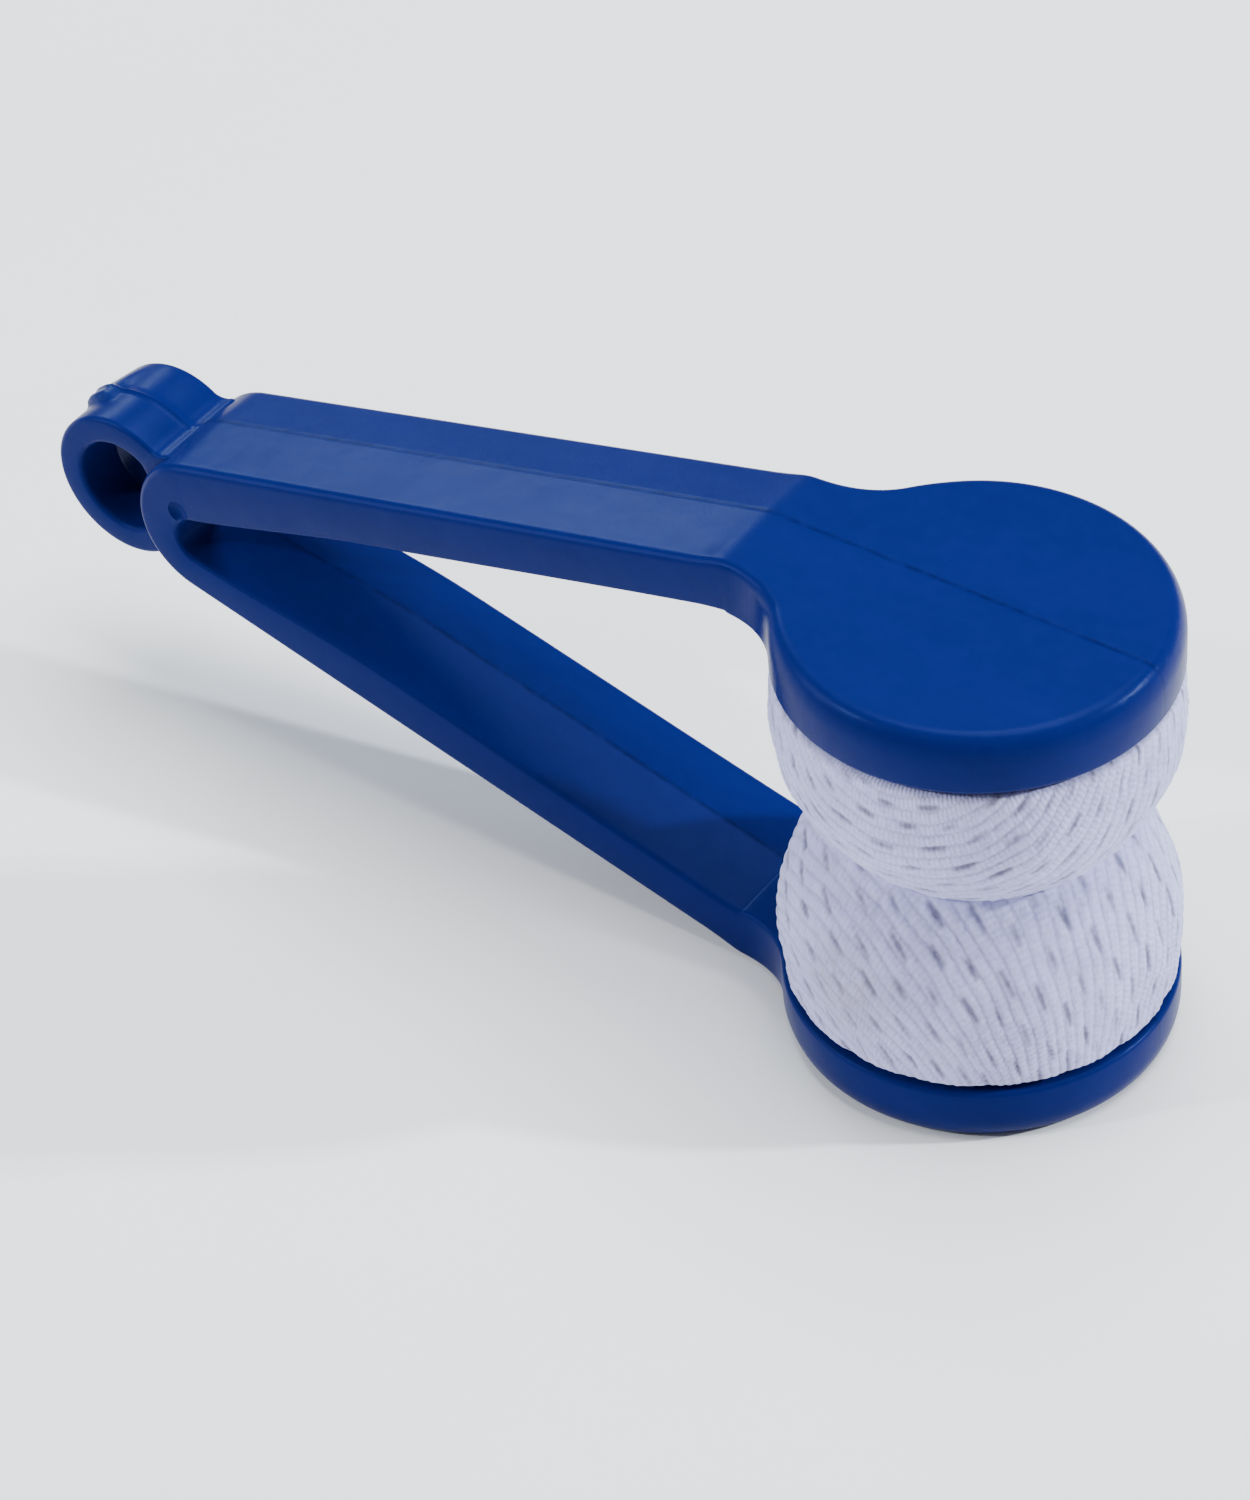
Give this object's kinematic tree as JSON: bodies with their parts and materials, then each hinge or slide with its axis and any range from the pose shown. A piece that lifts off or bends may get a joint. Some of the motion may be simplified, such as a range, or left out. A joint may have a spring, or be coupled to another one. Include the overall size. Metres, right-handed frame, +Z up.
{
  "type": "spectacle lens cleaning tongs",
  "caption": "Key-ring tongs that clean spectacle lenses: a sprung V of two arms with round heads and facing microfibre pads.",
  "frame": {"origin": "centre of the lower disc's outer face, on which the tongs stand", "axes": "+X from the key loop to the tip of the heads, +Z up from the lower disc to the upper disc, square to both"},
  "size_m": [0.0751, 0.023, 0.0297],
  "materials": {
    "moulding": "satin",
    "microfibre": "matte",
    "foam": "matte",
    "backing": "matte",
    "adhesive": "satin"
  },
  "bodies": {
    "lower_arm": {"lower_arm": "moulding", "lower_pad_glue": "adhesive", "lower_pad_backing": "backing", "lower_pad_core": "foam", "lower_pad_cover": "microfibre"},
    "lower_leg": {"lower_leg": "moulding"},
    "bow": {"spring_bow": "moulding", "key_loop": "moulding"},
    "upper_leg": {"upper_leg": "moulding"},
    "upper_arm": {"upper_arm": "moulding", "upper_pad_glue": "adhesive", "upper_pad_backing": "backing", "upper_pad_core": "foam", "upper_pad_cover": "microfibre"}
  },
  "joints": [
    {"name": "squeeze_lower", "type": "hinge", "parent": "lower_arm", "child": "lower_leg", "pos_m": [-0.0389, 0, 0.00812], "axis": [0, -1, 0], "range_deg": [-2.5, 0], "stiffness_Nm_per_rad": 0.3, "deforming": ["lower_pad_cover", "lower_pad_core"]},
    {"name": "open_lower", "type": "hinge", "parent": "lower_leg", "child": "bow", "pos_m": [-0.0476, 0, 0.0103], "axis": [0, -1, 0], "range_deg": [0, 6], "stiffness_Nm_per_rad": 0.15},
    {"name": "open_upper", "type": "hinge", "parent": "bow", "child": "upper_leg", "pos_m": [-0.0476, 0, 0.0194], "axis": [0, -1, 0], "range_deg": [0, 6], "stiffness_Nm_per_rad": 0.15},
    {"name": "squeeze_upper", "type": "hinge", "parent": "upper_leg", "child": "upper_arm", "pos_m": [-0.0389, 0, 0.02158], "axis": [0, -1, 0], "range_deg": [-2.5, 0], "stiffness_Nm_per_rad": 0.3, "deforming": ["upper_pad_cover", "upper_pad_core"]}
  ],
  "couplings": [
    {"joint": "open_upper", "follows": "open_lower", "ratio": 1},
    {"joint": "squeeze_upper", "follows": "squeeze_lower", "ratio": 1}
  ]
}
